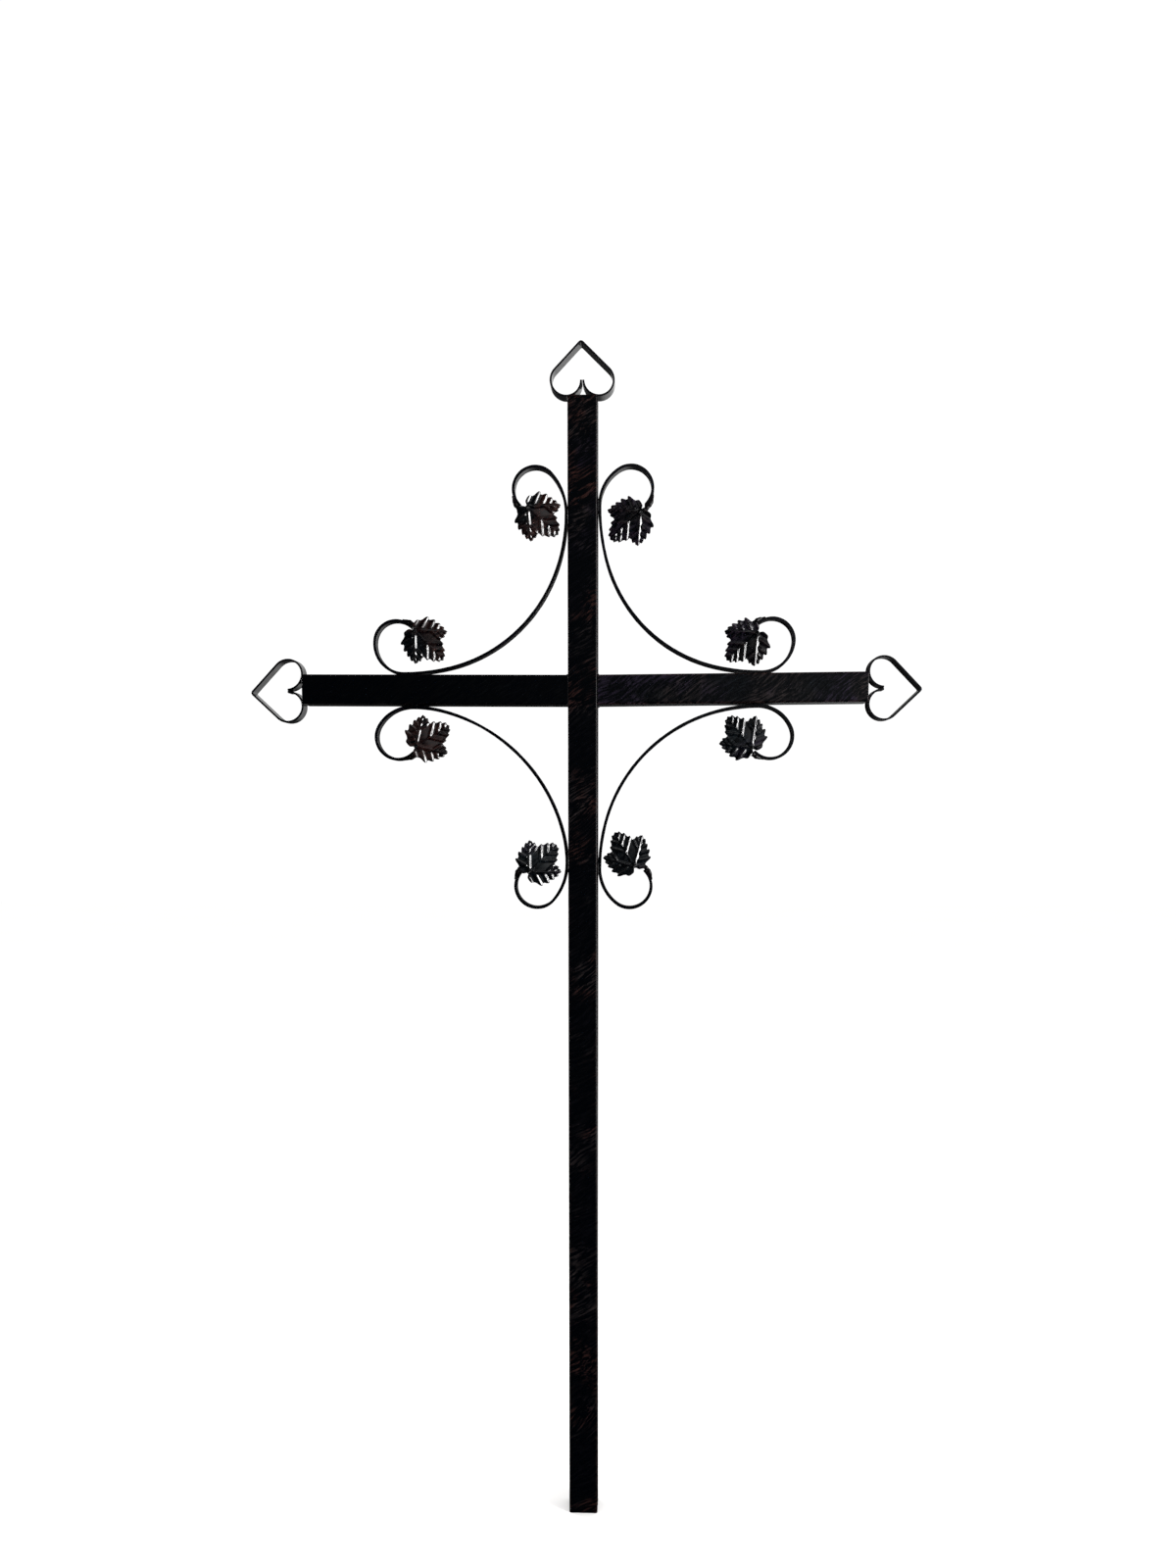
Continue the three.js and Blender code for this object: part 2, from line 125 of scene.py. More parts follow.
# The stems: the length over which one is drawn out, its thinnest share there, the length over
# which its end is rounded off, its swell in the waists, what the beads add, and its corners'
# radius as a share of its width
STEM_DRAWN, STEM_THIN, STEM_END = mm(8), 0.4, mm(1.4)
STEM_WAIST, STEM_BEAD, STEM_CORNER = 1.2, 0.3, 0.45

# How unevenly hammer and bending leave a bar: the length of a swell, and its share of the
# bar's thickness and width
SWELL_LENGTH, HEART_SWELL, SCROLL_SWELL = mm(7), (0.06, 0.015), (0.07, 0.02)


def length(name, description, millimetres):
    """A length property with a default in millimetres."""
    return FloatProperty(
        name=name, description=description, default=mm(millimetres), unit="LENGTH",
        subtype="DISTANCE", precision=5,
    )


def turn(name, description, degrees):
    """An angle property with a default in degrees."""
    return FloatProperty(
        name=name, description=description, default=math.radians(degrees), unit="ROTATION",
        subtype="ANGLE",
    )


def colour(name, description, code):
    """A colour property with an sRGB hex default."""
    return FloatVectorProperty(
        name=name, description=description, default=linear(code), size=4, min=0, max=1,
        subtype="COLOR",
    )


class CrossBarSizes(bpy.types.PropertyGroup):
    """Sizes of the square tubes and their plates."""

    corner: length("Tube corner", "Outside radius of the tube's corners", 2.1)
    wall: length("Tube wall", "Thickness of the tube's wall", 2)
    plate_edge: length("Plate edge", "Radius that the end plates' edges are ground to", 0.8)


class CrossHeartSizes(bpy.types.PropertyGroup):
    """Sizes of the open hearts."""

    width: length("Width", "Width over both lobes", 64.8)
    strip: length("Strip", "Thickness of the strip", 2)
    depth: length("Depth", "Width of the strip, from front to back", 16)
    edge: length("Edge", "Radius of the strip's edges", 0.2)
    tip_radius: length("Tip radius", "Radius of the bend at the tip", 2)
    tip_half: turn("Half tip", "Half of the angle at the tip", 45)
    drift_top: length("Top drift", "How far the top heart's tip leans to the right", -1.6)
    drift_left: length("Left drift", "How far the left heart's tip leans to its right", -3)
    drift_right: length("Right drift", "How far the right heart's tip leans to its right", 2)


class CrossScrollSizes(bpy.types.PropertyGroup):
    """Sizes of the C-scrolls."""

    strip: length("Bar", "Thickness of the flat bar", 3)
    depth: length("Depth", "Width of the flat bar, from front to back", 12)
    reach_upright: length("Reach up", "Inner corner to the far side of the upright's curl", 208.2)
    reach_arm: length("Reach out", "Inner corner to the far side of the arm's curl", 199.3)
    middle_turn: turn("Middle turn", "How far the middle bend turns", 62)
    standoff: length("Stand-off", "How far a curl stands off its tube", 56.5)
    curl_radius: length("Curl radius", "Radius of the curls", 22.2)
    curl_turn: turn("Curl turn", "How far a curl turns from its tube", 221)
    tail: length("Tail", "Straight end of the bar", 2.5)
    edge: length("Edge", "Radius of the flat bar's edges", 0.25)


class CrossLeafSizes(bpy.types.PropertyGroup):
    """Sizes of the stamped vine leaves and their stems."""

    sheet: length("Sheet", "Thickness of the stamped sheet", 1.5)
    centre_lobe: length("Centre lobe", "Hub to the centre lobe's tip", 41)
    side_lobe: length("Side lobe", "Hub to a side lobe's tip", 32)
    base_lobe: length("Base lobe", "Hub to a base lobe's edge", 19.5)
    notch: length("Notch", "Depth of the notches between the lobes", 4)
    hub: length("Hub", "Radius of the flat round the hub", 2.2)
    sinus: turn("Sinus", "Angle from the centre vein to the base lobes' back edge", 150)
    side_vein: turn("Side veins", "Angle from the centre vein to the side veins", 45)
    back_vein: turn("Back veins", "Angle from a side vein to the veins behind it", 62)
    lobe_end: length("Lobe end", "Hub to the end of the side lobes' folds, on the vein", 12.3)
    fold_width: length("Fold width", "Vein to crease, along the vein that it leaves", 3.4)
    pleat_rise: length("Pleat rise", "Height of the pleats above and below the sheet", 0.72)
    even_pleats: length("Even pleats", "Distance from the hub where pleats have full height", 6)
    vein_rise: length("Vein rise", "Height of the raised line on the centre vein", 0.4)
    tooth: length("Tooth", "How far the teeth reach beyond the edge", 0.9)
    cut: length("Cut", "How far the cuts between the teeth reach inwards", 1.3)
    deep_cut: length("Deep cut", "How far the cuts of the base lobes reach inwards", 2)
    crown: length("Crown", "How far the hub stands in front of the edge", 6.5)
    forward: length("Forward", "How far the leaf lies in front of the bars' middle", 6.4)
    stem_width: length("Stem width", "Width of the stem", 3)
    stem_depth: length("Stem depth", "Depth of the stem, from front to back", 7)
    stem_forward: length("Stem forward", "How far the stem lies in front of the bars' middle", 5.1)
    stem_sunk: length("Stem's middle", "Middle of the stem behind the back of the curl", 1.5)
    stem_lift: length("Stem lift", "How far the stem rises from the curl where it starts", 1.5)
    stem_wrap: turn("Stem wrap", "How far the stem follows the back of the curl", 24)
    stem_past_bar: length("Stem past bar", "How far the stem runs on beyond the bar's end", 2.5)
    bead: length("Bead", "Distance between the hammered beads of the stem", 4.2)


class CrossColours(bpy.types.PropertyGroup):
    """Colours of the finishes and the stage."""

    lacquer: colour("Lacquer", "Near-black lacquer", "#000103")
    copper: colour("Copper patina", "Red-brown brushed over the lacquer", "#2c1713")
    bright_copper: colour("Bright copper", "The reddest patina, on the leaves", "#280f0b")
    umber: colour("Umber patina", "Grey-brown brushed over the lacquer", "#211b1b")
    plum: colour("Plum patina", "Dark plum where the patina is thin", "#1a1322")
    slate: colour("Slate patina", "Blue-grey where the lacquer was brushed twice", "#0c151a")
    rub: colour("Rubbed copper", "Copper that shows where edges and veins are rubbed", "#4a281a")
    floor: colour("Floor", "Pale floor", "#fdfcfb")


# Lines in the plane of the cross: x to the right and y upwards, in metres

STRAIGHT_STEPS = 4
STEM_POINTS = 9


def heading(angle):
    """The way that an angle points, from x towards y."""
    return np.array([math.cos(angle), math.sin(angle)])


def walk(start, angle, stretches, step=math.radians(3)):
    """Follows straight and curved stretches (length, radius, turn), turning left when positive."""
    points = [np.array(start, float)]
    for straight, radius, bend in stretches:
        count = max(1, math.ceil(abs(bend) / step)) if bend else STRAIGHT_STEPS
        part = bend / count
        stride = 2 * radius * math.sin(abs(part) / 2) if bend else straight / count
        for _ in range(count):
            points.append(points[-1] + stride * heading(angle + part / 2))
            angle += part
    return np.array(points)


def heart_line(sizes, drift):
    """The middle of a heart's strip, with the tip towards +y and the tube end at y = 0."""
    half = sizes.strip / 2
    cusp_x = half + GAP / 2
    lobe = (sizes.width / 2 - half - cusp_x) / 2
    half_tip = sizes.tip_half
    shoulder = cusp_x + lobe * (1 + math.cos(half_tip))
    straight = (shoulder - sizes.tip_radius * math.cos(half_tip)) / math.sin(half_tip)
    around = (0, lobe, math.pi + half_tip)
    tip = (0, sizes.tip_radius, math.pi - 2 * half_tip)
    sides = [around, (straight, 0, 0), tip, (straight, 0, 0), around]
    line = walk((cusp_x, GAP + half + lobe), -math.pi / 2, sides)
    line[:, 0] += drift * line[:, 1] / line[:, 1].max()
    return line


def curl(scroll, leaf, touch, reach, leaf_place):
    """One curl drawn as if on the arm: its line from the touch, and its leaf's stem."""
    half = scroll.strip / 2
    offset = GAP + half
    along = reach - touch - scroll.curl_radius - half
    away = scroll.standoff - offset - half - 2 * scroll.curl_radius
    easing = 2 * math.atan2(away, along)
    start = (touch, offset)
    line = walk(start, 0, [
        (0, scroll.curl_radius + along / math.sin(easing), easing),
        (0, scroll.curl_radius, scroll.curl_turn - easing),
        (scroll.tail, 0, 0),
    ])
    back = scroll.curl_radius + half + leaf.stem_sunk
    centre = np.array([touch + along, offset + away + scroll.curl_radius])
    angle = scroll.curl_turn - leaf.stem_wrap
    stem = []
    for share in np.linspace(0, 1, STEM_POINTS):
        lifted = back - leaf.stem_lift * (1 - share) ** 2
        stem.append(centre + lifted * heading(angle + share * leaf.stem_wrap - math.pi / 2))
    stem.append(stem[-1] + (scroll.tail + leaf.stem_past_bar) * heading(scroll.curl_turn))
    ahead, aside, *_ = leaf_place
    hub = line[-1] + mm(ahead) * heading(scroll.curl_turn)
    hub = hub + mm(aside) * heading(scroll.curl_turn + math.pi / 2)
    return line, np.vstack([*stem, hub])


def long_bend(scroll, upright_touch, arm_touch, fullness):
    """The bend between the two touches: three arcs, the tightest in the middle."""
    outer = (math.pi / 2 - scroll.middle_turn) / 2
    sine = math.sin(outer)
    lift = 1 - math.cos(outer)
    radius = fullness * (upright_touch + arm_touch) / 2
    middle = radius * (1 - lift - sine)
    offset = GAP + scroll.strip / 2
    down = upright_touch - offset - middle
    out = arm_touch - offset - middle
    share = sine * sine - lift * lift
    return walk((offset, upright_touch), -math.pi / 2, [
        (0, (sine * down - lift * out) / share, outer),
        (0, radius, scroll.middle_turn),
        (0, (sine * out - lift * down) / share, outer),
    ])


def scroll_lines(scroll, leaf, corner):
    """A scroll's whole line, and for each of its leaves the stem and the way the lobe points."""
    upright_touch = scroll.reach_upright - mm(corner["curls"][0])
    arm_touch = scroll.reach_arm - mm(corner["curls"][1])
    (by_upright, first), (by_arm, second) = corner["leaves"].items()
    upright_line, upright_stem = curl(scroll, leaf, upright_touch, scroll.reach_upright, first)
    arm_line, arm_stem = curl(scroll, leaf, arm_touch, scroll.reach_arm, second)
    bend = long_bend(scroll, upright_touch, arm_touch, corner["fullness"])
    line = np.vstack([upright_line[::-1, ::-1], bend[1:], arm_line[1:]])
    stems = {
        by_upright: (
            upright_stem[:, ::-1],
            heading(scroll.curl_turn + math.radians(first[2]))[::-1],
        ),
        by_arm: (arm_stem, heading(scroll.curl_turn + math.radians(second[2]))),
    }
    touches = np.array([[0, upright_touch], [arm_touch, 0]])
    return line, stems, touches


def in_corner(points, corner):
    """Points drawn from an inner corner, put where that corner is."""
    points = np.atleast_2d(points)
    out = HALF_TUBE + points[:, 0]
    rise = corner["up"] * (HALF_TUBE + points[:, 1]) + ARM_SLOPE * out
    return np.column_stack([corner["right"] * out, ARM_HEIGHT + rise])


def evened(line, spacing):
    """The line with its points at an even spacing, so that a bar's marks are even too."""
    steps = np.linalg.norm(np.diff(line, axis=0), axis=1)
    place = np.concatenate([[0], np.cumsum(steps)])
    wanted = np.linspace(0, place[-1], max(2, round(place[-1] / spacing) + 1))
    return np.column_stack([np.interp(wanted, place, line[:, i]) for i in (0, 1)])


# Meshes


def rounded_section(width, depth, radius, flats):
    """A rounded rectangle as (across, forward) points, corner after corner."""
    points = []
    for index, (sx, sy) in enumerate(((1, 1), (-1, 1), (-1, -1), (1, -1))):
        centre = np.array([sx * (width / 2 - radius), sy * (depth / 2 - radius)])
        for step in range(flats + 1):
            angle = (index + step / flats) * math.pi / 2
            points.append(centre + radius * heading(angle))
    return np.array(points)


def corner_wear(flats):
    """How worn each point of a rounded section is: most in the middle of its corners."""
    return np.tile(1 - np.abs(np.linspace(-1, 1, flats + 1)), 4)


def stand(across_up, forward):
    """Plane points and forward distances as points in the frame."""
    return np.column_stack([across_up[:, 0], -np.asarray(forward), across_up[:, 1]])


def rings_to_faces(rings, count, closed=False):
    """Quads between rings of the same count, with end faces unless the rings close."""
    faces = []
    last = rings if closed else rings - 1
    for ring in range(last):
        a, b = ring * count, (ring + 1) % rings * count
        for place in range(count):
            after = (place + 1) % count
            faces.append((a + place, a + after, b + after, b + place))
    if not closed:
        faces.append(tuple(range(count))[::-1])
        faces.append(tuple(range((rings - 1) * count, rings * count)))
    return faces


def sweep(line, section, forward=0.0, swell=None):
    """A bar whose middle follows the line. swell scales its section at each point."""
    tangent = np.gradient(line, axis=0)
    tangent /= np.linalg.norm(tangent, axis=1, keepdims=True)
    across = np.column_stack([-tangent[:, 1], tangent[:, 0]])
    scale = np.ones((len(line), 2)) if swell is None else swell
    rings = []
    for point, side, (wide, deep) in zip(line, across, scale):
        plane = point + np.outer(section[:, 0] * wide, side)
        rings.append(stand(plane, section[:, 1] * deep + forward))
    return np.vstack(rings), rings_to_faces(len(line), len(section))


def hammered(line, spacing, seed, amount):
    """Small swells and waists along a bar, as hammer and bending leave them."""
    count = len(line)
    swell = np.ones((count, 2))
    for index in range(count):
        place = index * spacing
        for axis in (0, 1):
            wave = noise.noise(Vector((place / SWELL_LENGTH, seed * 3.7 + axis * 11.3, 0.5)))
            swell[index, axis] += amount[axis] * wave
    return swell


def make_piece(name, verts, faces, material, replaced=(), rim=None, sharp=SHARP):
    """Makes a piece of the cross, shades it, hangs it on the body that it rides on, and hides the
    solids that it replaces.
    """
    mesh = bpy.data.meshes.new(name)
    mesh.from_pydata([tuple(v) for v in verts], [], faces)
    shape = bmesh.new()
    shape.from_mesh(mesh)
    bmesh.ops.recalc_face_normals(shape, faces=shape.faces)
    shape.to_mesh(mesh)
    shape.free()
    mesh.shade_smooth()
    mesh.set_sharp_from_angle(angle=math.radians(sharp))
    if rim is not None:
        mesh.attributes.new("rim", "FLOAT", "POINT").data.foreach_set("value", rim)
    mesh.materials.append(material)
    piece = bpy.data.objects.new(name, mesh)
    bpy.context.scene.collection.objects.link(piece)
    weighted = piece.modifiers.new("Even faces", "WEIGHTED_NORMAL")
    weighted.keep_sharp = True
    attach(piece, BODY)
    if replaced:
        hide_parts(*replaced)


def tube_mesh(sizes, low, high):
    """A hollow square tube along +z, from low to high, and its rim values."""
    outer = rounded_section(TUBE_SIDE, TUBE_SIDE, sizes.corner, TUBE_FLATS)
    inner_side = TUBE_SIDE - 2 * sizes.wall
    inner = rounded_section(inner_side, inner_side, sizes.corner - sizes.wall, TUBE_FLATS)
    loops = [(outer, low), (outer, high), (inner, high), (inner, low)]
    verts = np.vstack([np.column_stack([loop, np.full(len(loop), z)]) for loop, z in loops])
    faces = rings_to_faces(len(loops), len(outer), closed=True)
    rim = np.tile(corner_wear(TUBE_FLATS), len(loops))
    return verts, faces, rim


def plate_mesh(sizes, low, high, ground_up):
    """An end plate from low to high along +z, ground round on its outer edge."""
    levels = [(low, 0)]
    for step in range(PLATE_STEPS + 1):
        angle = step / PLATE_STEPS * math.pi / 2
        inset = sizes.plate_edge * (1 - math.cos(angle))
        levels.append((high - sizes.plate_edge * (1 - math.sin(angle)), inset))
    rings = []
    for level, inset in levels:
        side = TUBE_SIDE - 2 * inset
        shrunk = rounded_section(side, side, sizes.corner - inset, TUBE_FLATS)
        z = level if ground_up else low + high - level
        rings.append(np.column_stack([shrunk, np.full(len(shrunk), z)]))
    count = len(rings[0])
    rim = np.repeat([0.0, 0.0] + [1.0] * (PLATE_STEPS - 1) + [0.0], count)
    return np.vstack(rings), rings_to_faces(len(rings), count), rim


def along_arm(verts, side):
    """Lays points drawn along +z out along an arm, with the arm's slope."""
    out = verts[:, 2]
    return np.column_stack([side * out, verts[:, 1], ARM_HEIGHT + verts[:, 0] + ARM_SLOPE * out])


def bead_mesh(centre, along, reach, radius, seed):
    """A short weld bead: a rippled ridge that tapers to both ends."""
    along = Vector(along).normalized()
    side = along.orthogonal().normalized()
    other = along.cross(side)
    verts = []
    for ring in range(BEAD_RINGS):
        share = 2 * ring / (BEAD_RINGS - 1) - 1
        girth = math.sqrt(max(1 - share**4, 0.02))
        ripple = 1 + BEAD_RIPPLE * math.sin(ring * 2.1 + seed)
        for place in range(BEAD_SIDES):
            angle = 2 * math.pi * place / BEAD_SIDES
            rough = 1 + BEAD_ROUGH * noise.noise(Vector((ring * 0.7, angle, seed)))
            out = radius * girth * ripple * rough
            offset = side * math.cos(angle) * out + other * math.sin(angle) * out
            verts.append(tuple(Vector(centre) + along * share * reach / 2 + offset))
    return np.array(verts), rings_to_faces(BEAD_RINGS, BEAD_SIDES)


def joined(parts):
    """Several (verts, faces) as one."""
    verts, faces, count = [], [], 0
    for part_verts, part_faces in parts:
        verts.append(part_verts)
        faces += [tuple(i + count for i in face) for face in part_faces]
        count += len(part_verts)
    return np.vstack(verts), faces


# The vine leaf, with its hub at the origin and its centre lobe towards +x. The stamp folds it
# so: side veins leave the centre vein at CENTRE_VEINS, veins leave a side vein towards its tip
# at LOBE_VEINS and towards the stem at BACK_VEINS, all in millimetres from the hub.
CENTRE_VEINS = (0.0, 16.7, 25.9, 33.2)
LOBE_VEINS = (17.7, 24.0, 29.5)
BACK_VEINS = (-11.0, -3.5, 5.0, 13.7, 20.5, 26.5)
# Degrees from the centre vein: the notches before and behind the side lobe, the base lobe and
# its back, and then how many more the edge takes to run in to the hub
LEAF_CORNERS = (27, 68, 90, 116, 6)
# What makes each leaf its own: patch sizes and strengths of its unevenness
EDGE_PATCH, EDGE_UNEVEN = mm(5), 0.02
PRESS_PATCH, PRESS_UNEVEN = mm(13), 0.3
SHEET_PATCH, SHEET_UNEVEN = mm(14), mm(0.4)
# The last two rings round the sheet's edge over, and the centre vein's raised line is narrow
EDGE_RINGS, EDGE_DROP, VEIN_LINE = (0.985, 1.0), mm(0.3), mm(0.7)


def leaf_edge(leaf, angles):
    """Hub to edge at angles from the centre vein."""
    front_notch, back_notch, base, base_back, slope = np.radians(LEAF_CORNERS)
    corners = [
        0, front_notch, leaf.side_vein, back_notch, base, base_back,
        leaf.sinus, leaf.sinus + slope,
    ]
    reaches = [
        leaf.centre_lobe, leaf.side_lobe - leaf.notch, leaf.side_lobe,
        leaf.base_lobe + leaf.notch, leaf.base_lobe, leaf.base_lobe - 2 * leaf.notch,
        leaf.hub + leaf.notch, leaf.hub,
    ]
    return np.interp(angles, corners, reaches)


def ridges(leaf, places, veins=(0.0,)):
    """1 on a vein and falling to -1 beside it, for places along the line that veins leave."""
    nearest = np.min(np.abs(places[..., None] - mm(np.array(veins))), axis=-1)
    height = 1 - 2 * np.minimum(nearest / leaf.fold_width, 1)
    return (height + np.sin(math.pi / 2 * height)) / 2


def folds_at(leaf, x, y):
    """How the stamp folds the sheet at points: from -1 in the creases to 1 on the veins."""
    across = np.abs(y)
    side, back = heading(leaf.side_vein), heading(leaf.side_vein + leaf.back_vein)
    # Between the centre vein and a side vein, in steps along the two
    up = across / side[1]
    out = x - up * side[0]
    lobe = np.clip((leaf.lobe_end - out) / leaf.fold_width, 0, 1)
    in_lobe = (ridges(leaf, up, LOBE_VEINS) + 1) * lobe - 1
    inner = np.maximum(ridges(leaf, out, CENTRE_VEINS), in_lobe)
    # Behind a side vein, in steps along it and away from it
    turned = side[0] * back[1] - side[1] * back[0]
    along = (x * back[1] - across * back[0]) / turned
    away = (side[0] * across - side[1] * x) / turned
    clear = np.clip(away / leaf.fold_width, 0, 1)
    behind = (ridges(leaf, along, BACK_VEINS) + 1) * clear - 1
    outer = np.maximum(ridges(leaf, away), behind)
    return np.where(away > 0, outer, inner)


def uneven(x, y, patch, seed):
    """Smooth noise between about -1 and 1 at points, in patches of that size."""
    flat = [noise.noise(Vector((a / patch, b / patch, seed))) for a, b in zip(x.flat, y.flat)]
    return np.array(flat).reshape(x.shape)


def leaf_mesh(leaf, seed):
    """The stamped leaf as a closed sheet: points (along, left, forward), faces and rim."""
    spokes = np.linspace(-math.pi, math.pi, LEAF_SPOKES, endpoint=False)
    cosine, sine = np.cos(spokes), np.sin(spokes)
    reach = leaf_edge(leaf, np.abs(spokes))
    fold = folds_at(leaf, reach * cosine, reach * sine)
    cut = np.where(np.abs(spokes) > leaf.side_vein, leaf.deep_cut, leaf.cut)
    reach = reach + fold * np.where(fold > 0, leaf.tooth, np.minimum(cut, reach / 5))
    reach = reach * (1 + EDGE_UNEVEN * uneven(reach * cosine, reach * sine, EDGE_PATCH, seed))

    shares = np.append(np.linspace(0, 1, LEAF_RINGS)[1:-1], EDGE_RINGS)
    x, y = np.outer(shares, reach * cosine), np.outer(shares, reach * sine)
    far = np.hypot(x, y)
    fold = folds_at(leaf, x, y)
    press = 1 + PRESS_UNEVEN * uneven(x, y, PRESS_PATCH, seed + 5)
    forward = leaf.crown * (1 - (far / leaf.centre_lobe) ** 2)
    forward += fold * press * leaf.pleat_rise * np.minimum(1, far / leaf.even_pleats)
    forward += leaf.vein_rise * np.exp(-((y / VEIN_LINE) ** 2)) * (x > 0)
    forward += SHEET_UNEVEN * uneven(x, y, SHEET_PATCH, seed)
    forward[-1] -= EDGE_DROP
    rim = 0.8 * np.maximum(fold, 0) ** 2
    rim[-2:] = 1.0

    front = np.stack([x, y, forward], axis=-1)
    back = front[::-1] - np.array([0, 0, leaf.sheet])
    verts = np.concatenate([front, back]).reshape(-1, 3)
    faces = rings_to_faces(2 * len(shares), LEAF_SPOKES)
    return verts, faces, np.concatenate([rim.ravel(), np.zeros(rim.size)])


def place_leaf(points, hub, lobe, forward):
    """Leaf points put on their hub, with the centre lobe pointing along lobe."""
    left = np.array([-lobe[1], lobe[0]])
    plane = hub + np.outer(points[:, 0], lobe) + np.outer(points[:, 1], left)
    return stand(plane, points[:, 2] + forward)


# Finishes


# What every Map Range node does here: a smooth step from one range to another
SMOOTH = {"interpolation_type": "SMOOTHSTEP"}


def add(tree, kind, inputs=(), **settings):
    """Adds a node with its settings and gives its outputs. Each input, by place or by name,
    is a constant or the output that is linked to it."""
    node = tree.nodes.new(kind)
    for name, value in settings.items():
        setattr(node, name, value)
    for socket, source in inputs.items() if isinstance(inputs, dict) else enumerate(inputs):
        if isinstance(source, bpy.types.NodeSocket):
            tree.links.new(source, node.inputs[socket])
        else:
            node.inputs[socket].default_value = source
    return node.outputs


# How each finish is laid: tones are the patina's two tones and the one in its thin places, marks
# the stroke heights from which patina lies and covers, thin the share of it between patches,
# cover its strength, rub how much copper the edges show, gloss the roughness of the lacquer,
# shine its refractive index, strokes a brush mark's length and width, relief its height in mm.
# Real bristle marks are under half a millimetre wide, and are drawn wider here, to show.
THIN_COAT = {"tones": ("umber", "plum", "plum"), "marks": (0.48, 0.7), "thin": 0.1}
LEAF_COAT = {"gloss": 0.14, "shine": 1.8, "strokes": (12, 3), "relief": 0.02}
FINISHES = {
    "lacquer_upright": {
        "tones": ("umber", "copper", "plum"), "marks": (0.48, 0.74), "thin": 0.08, "cover": 0.95,
        "rub": 0.1, "gloss": 0.22, "shine": 1.23, "strokes": (22, 1.9), "relief": 0.12,
    },
    "lacquer_arm_left": {
        "tones": ("slate", "slate", "umber"), "marks": (0.52, 0.72), "thin": 0.0, "cover": 0.08,
        "rub": 0.03, "gloss": 0.22, "shine": 1.25, "strokes": (20, 1.8), "relief": 0.03,
    },
    "lacquer_arm_right": {
        "tones": ("plum", "umber", "slate"), "marks": (0.45, 0.72), "thin": 0.5, "cover": 1.0,
        "rub": 0.15, "gloss": 0.2, "shine": 1.34, "strokes": (20, 1.9), "relief": 0.35,
    },
    "lacquer_flat_bar": {
        **THIN_COAT, "cover": 0.4, "rub": 0.12, "gloss": 0.09, "shine": 1.4,
        "strokes": (9, 1.2), "relief": 0.02,
    },
    "lacquer_weld": {
        **THIN_COAT, "cover": 0.3, "rub": 0.0, "gloss": 0.42, "shine": 1.3,
        "strokes": (4, 1), "relief": 0.03,
    },
    "lacquer_stem": {
        **THIN_COAT, "cover": 0.4, "rub": 0.1, "gloss": 0.3, "shine": 1.36,
        "strokes": (5, 1.2), "relief": 0.05,
    },
    "lacquer_leaf_copper": {
        **LEAF_COAT, "tones": ("bright_copper", "copper", "slate"), "marks": (0.3, 0.75),
        "thin": 0.4, "cover": 0.8, "rub": 0.1,
    },
    "lacquer_leaf_plum": {
        **LEAF_COAT, "tones": ("plum", "plum", "umber"), "marks": (0.38, 0.62),
        "thin": 0.3, "cover": 0.6, "rub": 0.1,
    },
    "lacquer_leaf_slate": {
        **LEAF_COAT, "tones": ("slate", "plum", "slate"), "marks": (0.38, 0.6),
        "thin": 0.4, "cover": 0.7, "rub": 0.05,
    },
}

# The brush's work: how far the hand's sweep bends the strokes and at what slant they run, and
# the size in millimetres and the detail of the sweep, of the patches, of the tones in them and
# of the lacquer's orange peel
SWEEP_BEND = mm(24)
STROKE_SLANT = -34
BRUSH_NOISES = ((60, 1.0), (48, 2.0), (30, 1.0), (3.2, 1.0))
# Noise levels between which the patches, the second tone, the thin places' tone, the rubbed
# copper and the duller lacquer come in
PATCH_RANGE, TONE_RANGE, THIN_RANGE = (0.42, 0.62), (0.42, 0.58), (0.52, 0.4)
RUB_RANGE, DULL_RANGE = (0.4, 0.62), (0.35, 0.7)
# How much rougher the dullest lacquer is, and the peel's height next to the strokes'
DULLER, PEEL_HEIGHT = 0.14, 0.4
# The head carries more patina: heights in metres, and what they add to the patches
HEAD_RANGE, HEAD_PATINA = (0.9, 1.12), (-0.03, 0.1)


